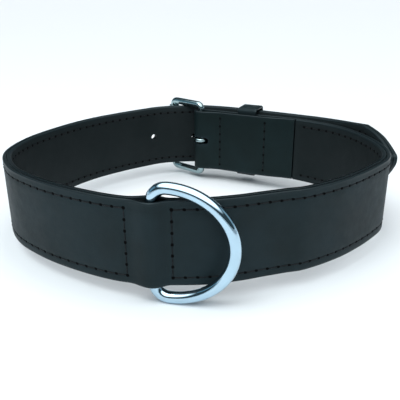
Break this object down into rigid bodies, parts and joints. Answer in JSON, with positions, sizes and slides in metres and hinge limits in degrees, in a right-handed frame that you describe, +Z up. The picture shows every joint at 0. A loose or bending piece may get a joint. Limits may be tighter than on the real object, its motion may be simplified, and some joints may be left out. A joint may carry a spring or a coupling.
{
  "type": "flat leather buckle collar",
  "caption": "Flat two-layer leather dog collar with roller buckle, fixed keeper loop and a swinging D-ring for a lead, buckled into a loop.",
  "frame": {"origin": "under the middle of the collar's box, on the surface it stands on", "axes": "+Z up, across the strap's width; -Y towards the D-ring at the front; +Y towards the buckle at the back; +X to the right when the D-ring faces the viewer"},
  "size_m": [0.2342, 0.217, 0.0637],
  "materials": {
    "strap_leather": "satin black, smooth grain",
    "lining_leather": "matt black",
    "chrome": "polished nickel plate",
    "black_thread": "waxed black thread"
  },
  "bodies": {
    "strap": {"outer_strap": "strap_leather", "lining_strap": "lining_leather", "left_panel_seam": "black_thread", "right_panel_seam": "black_thread", "fold_row_seam": "black_thread", "keeper_row_seam": "black_thread"},
    "ring": {"d_ring": "chrome"},
    "frame": {"buckle_frame": "chrome"},
    "roller": {"buckle_roller": "chrome"},
    "prong": {"buckle_prong": "chrome"},
    "keeper": {"keeper_loop": "strap_leather"}
  },
  "joints": [
    {"name": "ring_swing", "type": "hinge", "parent": "strap", "child": "ring", "pos_m": [-0.0237, -0.0958, 0.03186], "axis": [0, 0, 1], "range_deg": [-163, 1.5]},
    {"name": "frame_swing", "type": "hinge", "parent": "strap", "child": "frame", "pos_m": [0.00023, 0.08173, 0.03206], "axis": [0, 0, -1], "range_deg": [-2, 2]},
    {"name": "roller_spin", "type": "hinge", "parent": "frame", "child": "roller", "pos_m": [-0.02074, 0.10028, 0.03206], "axis": [0, 0, 1], "continuous": true},
    {"name": "prong_swing", "type": "hinge", "parent": "frame", "child": "prong", "pos_m": [0.00023, 0.08173, 0.03206], "axis": [0, 0, -1], "range_deg": [0, 2.5]},
    {"name": "keeper_slide", "type": "slide", "parent": "strap", "child": "keeper", "axis": [0.9063, -0.4226, 0], "range_m": [-0.004, 0.004]}
  ]
}
